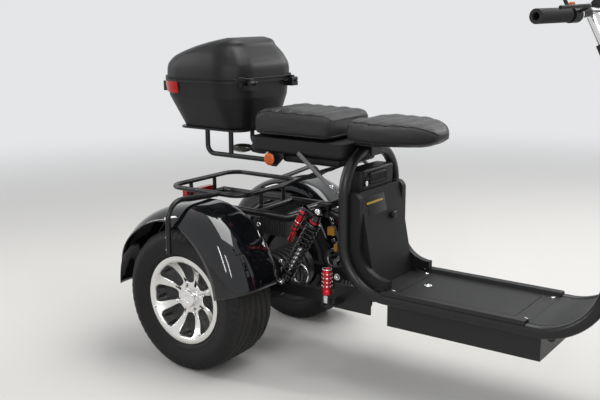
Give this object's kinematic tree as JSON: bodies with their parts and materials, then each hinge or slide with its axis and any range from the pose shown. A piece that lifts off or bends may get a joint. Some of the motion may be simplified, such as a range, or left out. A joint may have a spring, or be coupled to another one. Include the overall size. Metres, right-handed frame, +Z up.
{
  "type": "electric cargo trike scooter",
  "caption": "Step-through electric trike with two rear wheels, a steered front wheel, a two-part saddle, a luggage rack and a hinged top case.",
  "frame": {"origin": "on the ground under the middle of the overall length, on the centre plane", "axes": "+X forwards, +Y to the rider's left, +Z up"},
  "size_m": [2.1275, 0.834, 1.2358],
  "materials": {
    "frame_black": "satin black powder coat",
    "strut_grey": "satin graphite paint",
    "sheet_black": "matte black",
    "fork_black": "satin",
    "gloss_black": "gloss lacquer",
    "moulding": "fine grained black plastic",
    "case_plastic": "grained black plastic",
    "battery_case": "matte",
    "switch_black": "matte",
    "upholstery": "black synthetic leather",
    "cast_black": "painted casting",
    "shock_metal": "black anodised with red reservoir",
    "coil_black": "gloss",
    "alloy": "machined and polished casting",
    "tyre_rubber": "matte",
    "grip_rubber": "matte",
    "fork_chrome": "polished",
    "chrome_part": "polished",
    "clear_lens": "clear",
    "amber_lens": "translucent amber",
    "red_lens": "translucent red",
    "peg_red": "red anodised"
  },
  "bodies": {
    "chassis": {"main_loop_right": "frame_black", "main_loop_left": "frame_black", "cross_tubes": "frame_black", "steering_head": "frame_black", "loop_trims": "moulding", "rear_frame": "frame_black", "seat_struts": "strut_grey", "deck_panel": "moulding", "battery_box": "sheet_black", "front_riser": "moulding", "bay_fairing": "moulding", "battery_pack": "battery_case", "seat_tray": "moulding", "passenger_seat": "upholstery", "seat_bracket": "sheet_black", "case_base": "case_plastic", "case_carrier": "frame_black", "luggage_rack": "frame_black", "rear_fender_right": "gloss_black", "rear_fender_left": "gloss_black", "fender_hoops": "frame_black", "swing_arm": "frame_black", "drive_motor": "cast_black", "pivot_plates": "sheet_black", "shock_dampers": "shock_metal", "shock_springs": "coil_black", "rear_turn_lamps": "amber_lens", "tail_lamp": "red_lens"},
    "rear_wheel_right": {"rear_rim_right": "alloy", "rear_tyre_right": "tyre_rubber"},
    "rear_wheel_left": {"rear_rim_left": "alloy", "rear_tyre_left": "tyre_rubber"},
    "front_wheel": {"front_rim": "alloy", "front_tyre": "tyre_rubber"},
    "steering": {"steering_stem": "frame_black", "upper_clamp": "frame_black", "fork_outer_tubes": "fork_black", "fork_lower_legs": "fork_chrome", "bar_risers": "chrome_part", "handlebar": "frame_black", "hand_grips": "grip_rubber", "bar_controls": "switch_black", "mirrors": "switch_black", "dash_display": "switch_black", "headlamp_shell": "chrome_part", "headlamp_lens": "clear_lens", "front_turn_lamps": "amber_lens", "front_fender": "gloss_black"},
    "driver_seat": {"driver_seat": "upholstery"},
    "case_lid": {"case_lid": "case_plastic"},
    "deck_hatch": {"deck_hatch": "moulding"},
    "foot_peg_right": {"foot_peg_right": "peg_red"},
    "foot_peg_left": {"foot_peg_left": "peg_red"}
  },
  "joints": [
    {"name": "steering_turn", "type": "hinge", "parent": "chassis", "child": "steering", "pos_m": [0.49633, 0, 0.8], "axis": [-0.454, 0, 0.891], "range_deg": [-35, 35]},
    {"name": "front_wheel_roll", "type": "hinge", "parent": "steering", "child": "front_wheel", "pos_m": [0.8263, 0, 0.2295], "axis": [0, 1, 0], "continuous": true},
    {"name": "rear_right_roll", "type": "hinge", "parent": "chassis", "child": "rear_wheel_right", "pos_m": [-0.7637, -0.2875, 0.2295], "axis": [0, 1, 0], "continuous": true},
    {"name": "rear_left_roll", "type": "hinge", "parent": "chassis", "child": "rear_wheel_left", "pos_m": [-0.7637, 0.2875, 0.2295], "axis": [0, 1, 0], "continuous": true},
    {"name": "driver_seat_tilt", "type": "hinge", "parent": "chassis", "child": "driver_seat", "pos_m": [-0.2397, 0, 0.725], "axis": [0, 1, 0], "range_deg": [0, 65]},
    {"name": "case_lid_lift", "type": "hinge", "parent": "chassis", "child": "case_lid", "pos_m": [-0.6777, 0, 0.892], "axis": [0, 1, 0], "range_deg": [0, 80]},
    {"name": "deck_hatch_lift", "type": "hinge", "parent": "chassis", "child": "deck_hatch", "pos_m": [0.21233, 0, 0.302], "axis": [0, 1, 0], "range_deg": [0, 85]},
    {"name": "foot_peg_right_fold", "type": "hinge", "parent": "chassis", "child": "foot_peg_right", "pos_m": [-0.3307, -0.205, 0.27], "axis": [1, 0, 0], "range_deg": [0, 90]},
    {"name": "foot_peg_left_fold", "type": "hinge", "parent": "chassis", "child": "foot_peg_left", "pos_m": [-0.3307, 0.205, 0.27], "axis": [-1, 0, 0], "range_deg": [0, 90]}
  ]
}
